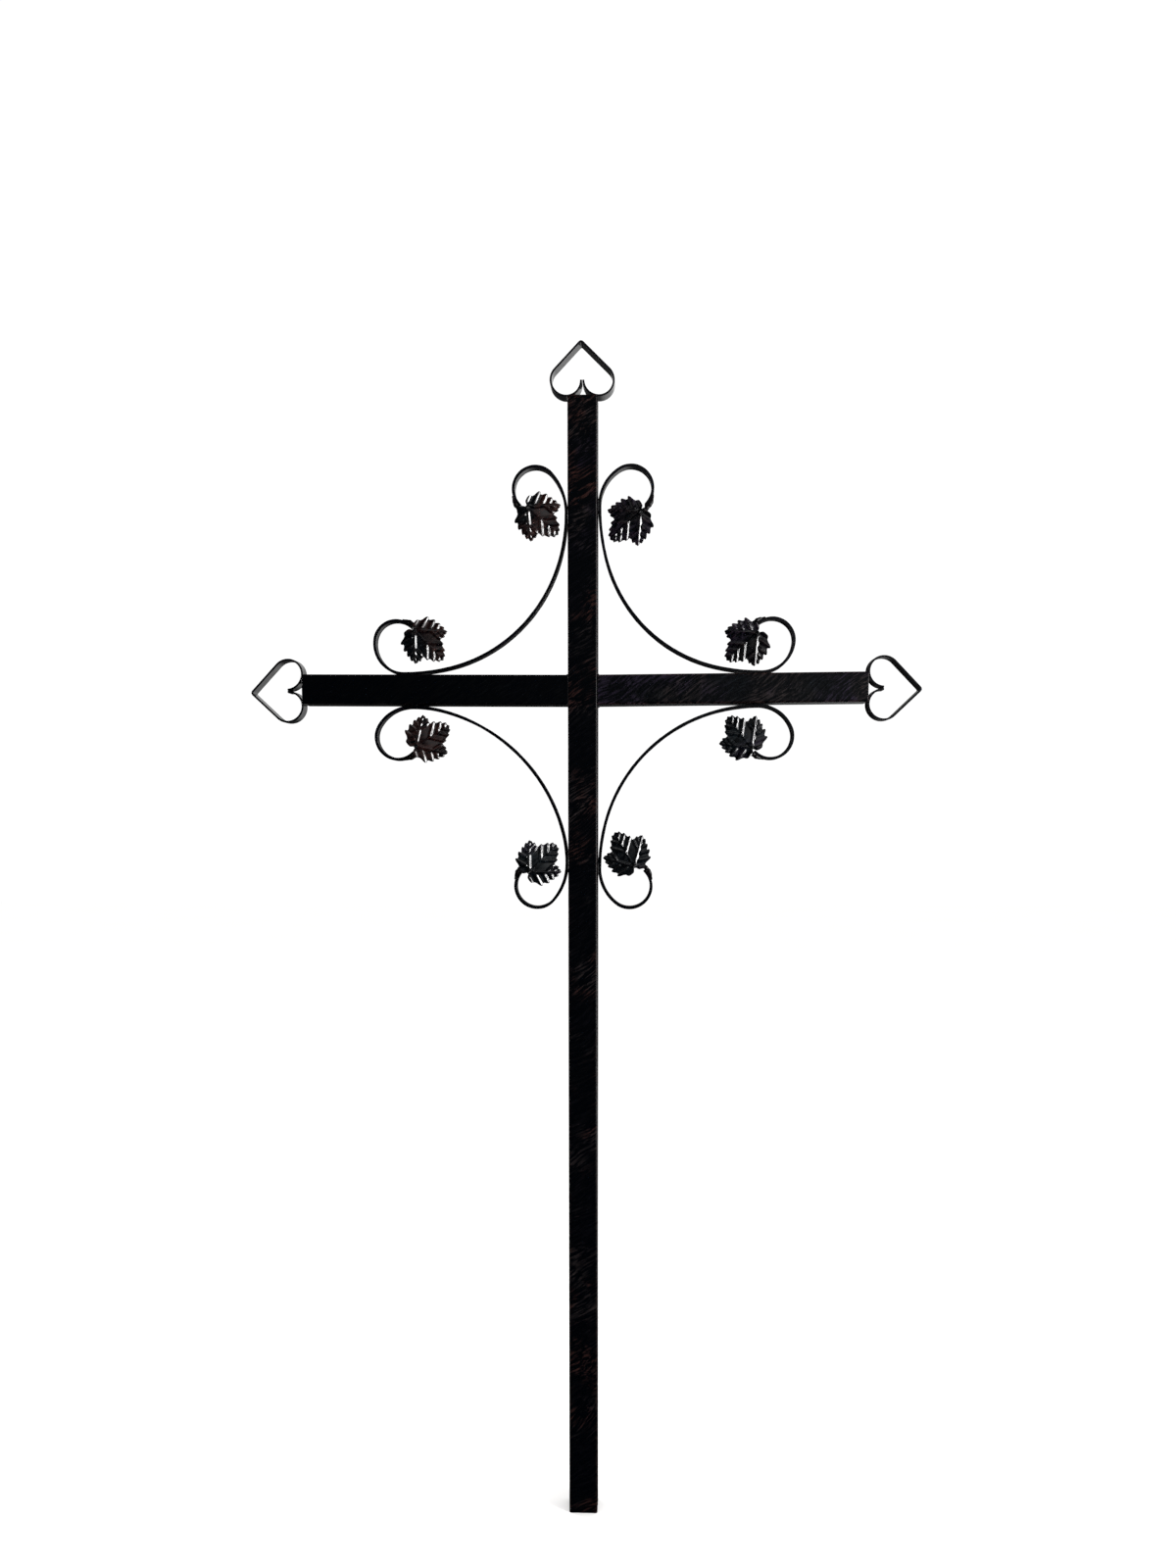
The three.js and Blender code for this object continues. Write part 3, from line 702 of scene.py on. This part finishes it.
def finish(name):
    """Near-black gloss lacquer on steel, dry-brushed while wet with powdered copper and umber.
    The eye gets a deep black with faint diagonal brush strokes in patches, fine ridges that
    break up the gloss, and warmer edges and veins where hands and weather rubbed them."""
    found = bpy.data.materials.get(name)
    if found:
        return found
    colours = bpy.context.scene.cross_colours
    laid = FINISHES[name]
    material = bpy.data.materials.new(name)
    material.use_nodes = True
    tree = material.node_tree
    tree.nodes.clear()
    place = add(tree, "ShaderNodeTexCoord")["Object"]
    sway, patches, tones, peel = (
        add(tree, "ShaderNodeTexNoise", {"Vector": place, "Scale": 1 / mm(size), "Detail": detail})
        for size, detail in BRUSH_NOISES
    )
    swept = add(
        tree, "ShaderNodeVectorMath", (sway["Color"], (SWEEP_BEND,) * 3, place),
        operation="MULTIPLY_ADD",
    )
    long, wide = laid["strokes"]
    slanted = add(
        tree, "ShaderNodeMapping", vector_type="TEXTURE", inputs={
            "Vector": swept[0], "Rotation": (0.0, math.radians(STROKE_SLANT), 0.0),
            "Scale": (mm(long), mm(wide), mm(wide)),
        },
    )
    strokes = add(
        tree, "ShaderNodeTexNoise",
        {"Vector": slanted[0], "Scale": 1.0, "Detail": 3.0, "Roughness": 0.62},
    )["Fac"]
    worn = add(tree, "ShaderNodeAttribute", attribute_name="rim")["Fac"]
    height = add(tree, "ShaderNodeSeparateXYZ", (place,))["Z"]
    higher = add(tree, "ShaderNodeMapRange", (height, *HEAD_RANGE, *HEAD_PATINA), **SMOOTH)[0]
    raised = add(tree, "ShaderNodeMath", (patches["Fac"], higher), operation="ADD")[0]
    gloss = laid["gloss"]
    covered, patchy, rubbed, toned, thinned, dull = (
        add(tree, "ShaderNodeMapRange", (source, *levels), **SMOOTH)[0]
        for source, levels in (
            (strokes, laid["marks"]),
            (raised, (*PATCH_RANGE, laid["thin"], 1.0)),
            (strokes, RUB_RANGE),
            (tones["Fac"], TONE_RANGE),
            (patches["Fac"], THIN_RANGE),
            (strokes, (*DULL_RANGE, gloss, gloss + DULLER)),
        )
    )
    for factor in (patchy, laid["cover"]):
        covered = add(tree, "ShaderNodeMath", (covered, factor), operation="MULTIPLY")[0]
    for factor in (rubbed, laid["rub"]):
        worn = add(tree, "ShaderNodeMath", (worn, factor), operation="MULTIPLY")[0]
    # The tones over each other, over the lacquer, and the rubbed copper over all
    tone, second, third = (tuple(getattr(colours, kind)) for kind in laid["tones"])
    lacquer, rub = tuple(colours.lacquer), tuple(colours.rub)
    warm = add(tree, "ShaderNodeMix", {0: toned, 6: tone, 7: second}, data_type="RGBA")[2]
    warm = add(tree, "ShaderNodeMix", {0: thinned, 6: warm, 7: third}, data_type="RGBA")[2]
    painted = add(tree, "ShaderNodeMix", {0: covered, 6: lacquer, 7: warm}, data_type="RGBA")[2]
    painted = add(tree, "ShaderNodeMix", {0: worn, 6: painted, 7: rub}, data_type="RGBA")[2]
    relief = add(
        tree, "ShaderNodeMath", (peel["Fac"], PEEL_HEIGHT, strokes), operation="MULTIPLY_ADD"
    )
    bump = add(tree, "ShaderNodeBump", {"Height": relief[0], "Distance": mm(laid["relief"])})
    shader = add(
        tree, "ShaderNodeBsdfPrincipled",
        {"Base Color": painted, "Roughness": dull, "IOR": laid["shine"], "Normal": bump[0]},
    )
    add(tree, "ShaderNodeOutputMaterial", {"Surface": shader[0]})
    return material


# One operator for each group of pieces


class CROSS_OT_bars(bpy.types.Operator):
    """Upright, arms and end plates, with the welds that join them"""

    bl_idname = "cross.bars"
    bl_label = "Bars and end plates"

    def execute(self, context):
        sizes = context.scene.cross_bars
        material = finish("lacquer_upright")
        verts, faces, rim = tube_mesh(sizes, PLATE + GAP, TOP - PLATE - GAP)
        make_piece("tube_upright", verts, faces, material, ["upright"], rim)
        verts, faces, rim = plate_mesh(sizes, 0.0, PLATE + GAP, False)
        make_piece("plate_foot", verts, faces, material, ["end_plate_foot"], rim)
        verts, faces, rim = plate_mesh(sizes, TOP - PLATE - GAP, TOP, True)
        make_piece("plate_top", verts, faces, material, ["end_plate_top"], rim)
        for name, side in (("left", -1), ("right", 1)):
            material = finish(f"lacquer_arm_{name}")
            end = ARM_REACH - PLATE - GAP
            verts, faces, rim = tube_mesh(sizes, HALF_TUBE + GAP, end)
            verts = along_arm(verts, side)
            tube = f"arm_{name}"
            make_piece(f"tube_{tube}", verts, faces, material, [tube], rim)
            verts, faces, rim = plate_mesh(sizes, end, ARM_REACH, True)
            verts = along_arm(verts, side)
            plate = f"end_plate_{name}"
            make_piece(f"plate_{name}", verts, faces, material, [plate], rim)
            self.add_weld(sizes, name, side)
        return {"FINISHED"}

    def add_weld(self, sizes, name, side):
        """The weld round an arm's inner end: a low fillet, ground flush on front and back."""
        depth = TUBE_SIDE - 2 * WELD_RADIUS
        loop = rounded_section(TUBE_SIDE, depth, sizes.corner, TUBE_FLATS)
        loop = evened(np.vstack([loop, loop[:1]]), ARM_WELD_SPACING)[:-1]
        outwards = loop / np.linalg.norm(loop, axis=1, keepdims=True)
        verts = []
        for index, (point, out) in enumerate(zip(loop, outwards)):
            ripple = 1 + ARM_RIPPLE * math.sin(index * 1.9)
            ripple += ARM_DRIFT * math.sin(index * 0.53 + side)
            for place in range(WELD_SIDES):
                angle = 2 * math.pi * place / WELD_SIDES
                across, along = point + out * (WELD_RADIUS * ripple * math.cos(angle))
                rise = HALF_TUBE + GAP + WELD_RADIUS * ripple * math.sin(angle)
                verts.append((across, along, rise))
        verts = np.array(verts)
        verts[:, 1] = np.clip(verts[:, 1], -HALF_TUBE + WELD_FLUSH, HALF_TUBE - WELD_FLUSH)
        faces = rings_to_faces(len(loop), WELD_SIDES, closed=True)
        verts = along_arm(verts, side)
        make_piece(f"weld_arm_{name}", verts, faces, finish("lacquer_weld"))


class CROSS_OT_hearts(bpy.types.Operator):
    """Open hearts of thin strip on the free ends, with their welds"""

    bl_idname = "cross.hearts"
    bl_label = "Hearts"

    def execute(self, context):
        sizes = context.scene.cross_hearts
        arm_end = ARM_HEIGHT + ARM_SLOPE * ARM_REACH
        places = (
            ("top", sizes.drift_top, (0.0, TOP), 0.0),
            ("left", sizes.drift_left, (-ARM_REACH, arm_end), math.pi / 2),
            ("right", sizes.drift_right, (ARM_REACH, arm_end), -math.pi / 2),
        )
        material = finish("lacquer_flat_bar")
        section = rounded_section(sizes.strip, sizes.depth, sizes.edge, STRIP_FLATS)
        for seed, (name, drift, base, angle) in enumerate(places):
            line = evened(heart_line(sizes, drift), HEART_SPACING)
            away, right = heading(angle + math.pi / 2), heading(angle)
            placed = np.array(base) + np.outer(line[:, 0], right) + np.outer(line[:, 1], away)
            swell = hammered(placed, HEART_SPACING, seed + 5, HEART_SWELL)
            verts, faces = sweep(placed, section, swell=swell)
            rim = np.tile(corner_wear(STRIP_FLATS), len(placed))
            node = f"heart_{name}"
            verts = np.clip(verts, *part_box(node))
            make_piece(f"strip_{node}", verts, faces, material, [node], rim)
            lobe = (sizes.width / 2 - sizes.strip) / 2
            reach = sizes.depth * HEART_WELD_SHARE
            beads = []
            for index, across in enumerate((-lobe, lobe)):
                aside = across * HEART_WELD_PLACE * right
                at = np.array(base) + aside + HEART_WELD_LIFT * away
                centre = (at[0], 0.0, at[1])
                beads.append(bead_mesh(centre, (0, 1, 0), reach, WELD_RADIUS, seed + index))
            verts, faces = joined(beads)
            make_piece(f"weld_{node}", verts, faces, finish("lacquer_weld"))
        return {"FINISHED"}


class CROSS_OT_scrolls(bpy.types.Operator):
    """C-scrolls of flat bar in the inner corners, with their welds"""

    bl_idname = "cross.scrolls"
    bl_label = "Scrolls"

    def execute(self, context):
        scroll = context.scene.cross_scrolls
        leaf = context.scene.cross_leaves
        material = finish("lacquer_flat_bar")
        section = rounded_section(scroll.strip, scroll.depth, scroll.edge, STRIP_FLATS)
        for seed, (name, corner) in enumerate(CORNERS.items()):
            line, _, touches = scroll_lines(scroll, leaf, corner)
            placed = in_corner(evened(line, SCROLL_SPACING), corner)
            swell = hammered(placed, SCROLL_SPACING, seed, SCROLL_SWELL)
            verts, faces = sweep(placed, section, swell=swell)
            rim = np.tile(corner_wear(STRIP_FLATS), len(placed))
            node = f"scroll_{name}"
            make_piece(f"bar_{node}", verts, faces, material, [node], rim)
            beads = []
            for index, touch in enumerate(touches):
                at = in_corner(touch + TOUCH_WELD_LIFT, corner)[0]
                along = (0, 0, 1) if index == 0 else (1, 0, ARM_SLOPE * corner["right"])
                for y in (-1, 1):
                    beads.append(bead_mesh(
                        (at[0], y * scroll.depth * TOUCH_WELD_SHARE, at[1]), along,
                        TOUCH_WELD_LENGTH, TOUCH_WELD_RADIUS, seed + index + y,
                    ))
            verts, faces = joined(beads)
            make_piece(f"weld_{node}", verts, faces, finish("lacquer_weld"))
        return {"FINISHED"}


class CROSS_OT_leaves(bpy.types.Operator):
    """Stamped vine leaves and their hammered stems at the scroll ends"""

    bl_idname = "cross.leaves"
    bl_label = "Vine leaves"

    def execute(self, context):
        scroll = context.scene.cross_scrolls
        leaf = context.scene.cross_leaves
        seed = 0
        for name, corner in CORNERS.items():
            _, stems, _ = scroll_lines(scroll, leaf, corner)
            for place, (stem, lobe_way) in stems.items():
                seed += 1
                node = f"leaf_{name}_{place}"
                material = finish(f"lacquer_leaf_{corner['leaves'][place][-1]}")
                line = in_corner(stem, corner)
                hub = line[-1]
                lobe = in_corner(stem[-1] + lobe_way * mm(1), corner)[0] - hub
                lobe /= np.linalg.norm(lobe)
                points, faces, rim = leaf_mesh(leaf, seed * 1.7)
                verts = place_leaf(points, hub, lobe, leaf.forward)
                make_piece(
                    f"vine_{node}", verts, faces, material, [node], rim, LEAF_SHARP
                )
                self.add_stem(leaf, f"stem_{node}", line, seed)
        return {"FINISHED"}

    def add_stem(self, leaf, name, line, seed):
        """A stem hammered into beads, laid on the back of the curl up to the leaf's hub."""
        line = evened(line, STEM_SPACING)
        radius = leaf.stem_width * STEM_CORNER
        section = rounded_section(leaf.stem_width, leaf.stem_depth, radius, STEM_FLATS)
        place = np.arange(len(line)) * STEM_SPACING
        taper = np.clip(place / STEM_DRAWN, STEM_THIN, 1)
        bead = STEM_WAIST + STEM_BEAD * np.abs(np.sin(math.pi * place / leaf.bead + seed))
        end = np.clip((place[-1] - place) / STEM_END + 0.5, 0.5, 1)
        swell = np.column_stack([taper * bead * end, taper * (0.3 + bead / 2) * end])
        verts, faces = sweep(line, section, leaf.stem_forward, swell)
        rim = np.repeat(np.clip(bead - 1.1, 0, 1) * 2, len(section))
        hub = line[-1]
        centre = (hub[0], -(leaf.forward + leaf.crown), hub[1])
        bead_verts, bead_faces = bead_mesh(
            centre, (1, 0, 0.6), HUB_BEAD_LENGTH, HUB_BEAD_RADIUS, seed
        )
        rim = np.concatenate([rim, np.zeros(len(bead_verts))])
        verts, faces = joined([(verts, faces), (bead_verts, bead_faces)])
        make_piece(name, verts, faces, finish("lacquer_stem"), rim=rim)


# The floor's half width in metres, the size of its clouds in millimetres and how dark they go
FLOOR_REACH, CLOUD_SIZE, CLOUD_SHADE = 9.0, 400, 0.97
# The lights: place and size in metres, power in watts. Each faces the middle of the arms.
LIGHTS = {
    "tall_light_right": ((1.6, -1.0, 0.8), (0.34, 2.0), 52),
    "tall_light_left": ((-1.6, -1.0, 0.95), (0.3, 1.5), 0.3),
    "tall_light_back": ((-1.6, 1.0, 0.8), (0.34, 2.0), 24),
    "soft_light_top": ((0.3, -0.9, 2.5), (1.2, 0.35), 0.8),
}
# The studio that the lacquer mirrors: behind the cross a ring of pale backdrop, brighter towards
# the right, and in front a dim room, lit from high on the right. A range is two cosines from a
# way, and where two more numbers follow, they are the brightness at each.
WHITE = 1.05
BACKDROP_WAY, BACKDROP_RANGE = (0.0, 1.0, 0.0), (0.84, 0.95)
BACKDROP_MIDDLE = (0.95, 0.978, 1.0, 0.02)
BACKDROP_LIGHT_WAY, BACKDROP_LIGHT = (0.93, 0.0, 0.36), (-0.22, 0.14, 0.05, 1.0)
ROOM_WAY, ROOM_RANGE = (0.0, -1.0, 0.0), (0.86, 0.96)
ROOM_LIGHT_WAY, ROOM_LIGHT = (0.89, 0.0, 0.45), (-0.04, 0.3, 0.01, 0.4)
# The camera, fitted to the edges of the bars: its place in millimetres, how far it is turned to
# the left, down and over in radians, and its lens, sensor, upward shift and far limit
CAMERA_PLACE = (56.19, -1266.76, 748.72)
CAMERA_TURN = (0.0406, 0.0925, 0.0005)
CAMERA_LENS, CAMERA_SENSOR, CAMERA_SHIFT, CAMERA_FAR = 28.125, 36.0, 0.0914, 60.0


class CROSS_OT_stage(bpy.types.Operator):
    """Pale floor, soft studio light and the camera"""

    bl_idname = "cross.stage"
    bl_label = "Stage"

    def execute(self, context):
        scene = context.scene
        self.add_floor(scene)
        self.add_sky(scene)
        for name, (place, size, power) in LIGHTS.items():
            self.add_light(scene, name, place, size, power)
        self.add_camera(scene)
        scene.view_settings.view_transform = "Standard"
        return {"FINISHED"}

    def add_floor(self, scene):
        """Fine matt plaster: pale, without gloss, with a faint unevenness."""
        mesh = bpy.data.meshes.new("floor")
        far = FLOOR_REACH
        corners = [(-far, -far, 0), (far, -far, 0), (far, far, 0), (-far, far, 0)]
        mesh.from_pydata(corners, [], [(0, 1, 2, 3)])
        floor = bpy.data.objects.new("floor", mesh)
        scene.collection.objects.link(floor)
        material = bpy.data.materials.new("matt_plaster_floor")
        material.use_nodes = True
        tree = material.node_tree
        tree.nodes.clear()
        place = add(tree, "ShaderNodeTexCoord")["Object"]
        cloud = add(
            tree, "ShaderNodeTexNoise",
            {"Vector": place, "Scale": 1 / mm(CLOUD_SIZE), "Detail": 2.0},
        )["Fac"]
        pale = tuple(scene.cross_colours.floor)
        dimmer = tuple(CLOUD_SHADE * c for c in pale[:3]) + (1.0,)
        shade = add(tree, "ShaderNodeMix", {0: cloud, 6: pale, 7: dimmer}, data_type="RGBA")[2]
        shader = add(tree, "ShaderNodeBsdfDiffuse", {"Color": shade})
        add(tree, "ShaderNodeOutputMaterial", {"Surface": shader[0]})
        mesh.materials.append(material)
        floor.visible_glossy = False

    def add_sky(self, scene):
        """White to the eye and as fill, dark in reflections from the front, as in a room."""
        world = bpy.data.worlds.new("studio")
        world.use_nodes = True
        scene.world = world
        world.cycles.sampling_method = "NONE"
        tree = world.node_tree
        tree.nodes.clear()
        direction = add(tree, "ShaderNodeTexCoord")["Generated"]
        behind, beside_backdrop, in_front, beside_room = (
            add(tree, "ShaderNodeVectorMath", (direction, way), operation="DOT_PRODUCT")["Value"]
            for way in (BACKDROP_WAY, BACKDROP_LIGHT_WAY, ROOM_WAY, ROOM_LIGHT_WAY)
        )
        backdrop, middle, backdrop_light, room, room_light = (
            add(tree, "ShaderNodeMapRange", (source, *levels), **SMOOTH)[0]
            for source, levels in (
                (behind, BACKDROP_RANGE), (behind, BACKDROP_MIDDLE),
                (beside_backdrop, BACKDROP_LIGHT), (in_front, ROOM_RANGE),
                (beside_room, ROOM_LIGHT),
            )
        )
        for factor in (middle, backdrop_light):
            backdrop = add(tree, "ShaderNodeMath", (backdrop, factor), operation="MULTIPLY")[0]
        room = add(tree, "ShaderNodeMath", (room, room_light), operation="MULTIPLY")[0]
        mirrored = add(tree, "ShaderNodeMath", (backdrop, room), operation="ADD")[0]
        glossy = add(tree, "ShaderNodeLightPath")["Is Glossy Ray"]
        strength = add(
            tree, "ShaderNodeMix", {0: glossy, 2: WHITE, 3: mirrored}, data_type="FLOAT"
        )[0]
        shine = add(
            tree, "ShaderNodeBackground", {"Color": (1.0, 1.0, 1.0, 1.0), "Strength": strength}
        )
        add(tree, "ShaderNodeOutputWorld", {"Surface": shine[0]})

    def add_light(self, scene, name, place, size, power):
        """A soft panel that faces the middle of the arms."""
        data = bpy.data.lights.new(name, "AREA")
        data.shape = "RECTANGLE"
        data.size, data.size_y = size
        data.energy = power
        light = bpy.data.objects.new(name, data)
        light.location = place
        aim = Vector((0.0, 0.0, ARM_HEIGHT)) - Vector(place)
        light.rotation_euler = aim.to_track_quat("-Z", "Y").to_euler()
        scene.collection.objects.link(light)

    def add_camera(self, scene):
        """A little to the right of the cross and below its arms, turned left and down."""
        data = bpy.data.cameras.new("camera")
        data.sensor_fit = "VERTICAL"
        data.sensor_height = CAMERA_SENSOR
        data.lens = CAMERA_LENS
        data.shift_y = CAMERA_SHIFT
        data.clip_end = CAMERA_FAR
        yaw, pitch, roll = CAMERA_TURN
        flat = math.cos(pitch)
        ahead = Vector((-math.sin(yaw) * flat, math.cos(yaw) * flat, -math.sin(pitch)))
        level = Vector((math.cos(yaw), math.sin(yaw), 0.0))
        above = level.cross(ahead)
        right = level * math.cos(roll) - above * math.sin(roll)
        upwards = right.cross(ahead)
        turned = Matrix((right, upwards, -ahead)).transposed().to_4x4()
        camera = bpy.data.objects.new("camera", data)
        camera.matrix_world = Matrix.Translation([mm(part) for part in CAMERA_PLACE]) @ turned
        scene.collection.objects.link(camera)
        scene.camera = camera


class CROSS_PT_panel(bpy.types.Panel):
    """Lists the pieces of the cross in the sidebar"""

    bl_label = "Wrought Iron Cross"
    bl_space_type = "VIEW_3D"
    bl_region_type = "UI"
    bl_category = "Cross"

    def draw(self, context):
        for operator in OPERATORS:
            self.layout.operator(operator.bl_idname)
        for group in PROPERTY_GROUPS:
            box = self.layout.box()
            settings = getattr(context.scene, group)
            for name in settings.bl_rna.properties.keys():
                if name not in ("rna_type", "name"):
                    box.prop(settings, name)


PROPERTY_GROUPS = {
    "cross_bars": CrossBarSizes,
    "cross_hearts": CrossHeartSizes,
    "cross_scrolls": CrossScrollSizes,
    "cross_leaves": CrossLeafSizes,
    "cross_colours": CrossColours,
}
OPERATORS = (CROSS_OT_bars, CROSS_OT_hearts, CROSS_OT_scrolls, CROSS_OT_leaves, CROSS_OT_stage)
CLASSES = (*PROPERTY_GROUPS.values(), *OPERATORS, CROSS_PT_panel)


def register():
    """Registers the classes and hangs the settings on the scene."""
    for cls in CLASSES:
        bpy.utils.register_class(cls)
    for name, group in PROPERTY_GROUPS.items():
        setattr(bpy.types.Scene, name, PointerProperty(type=group))


def unregister():
    """Takes back what register did."""
    for name in PROPERTY_GROUPS:
        delattr(bpy.types.Scene, name)
    for cls in reversed(CLASSES):
        bpy.utils.unregister_class(cls)


def main():
    """Builds the cross and its stage."""
    register()
    bpy.ops.cross.bars()
    bpy.ops.cross.hearts()
    bpy.ops.cross.scrolls()
    bpy.ops.cross.leaves()
    bpy.ops.cross.stage()
    bpy.context.view_layer.update()


if __name__ == "__main__":
    main()
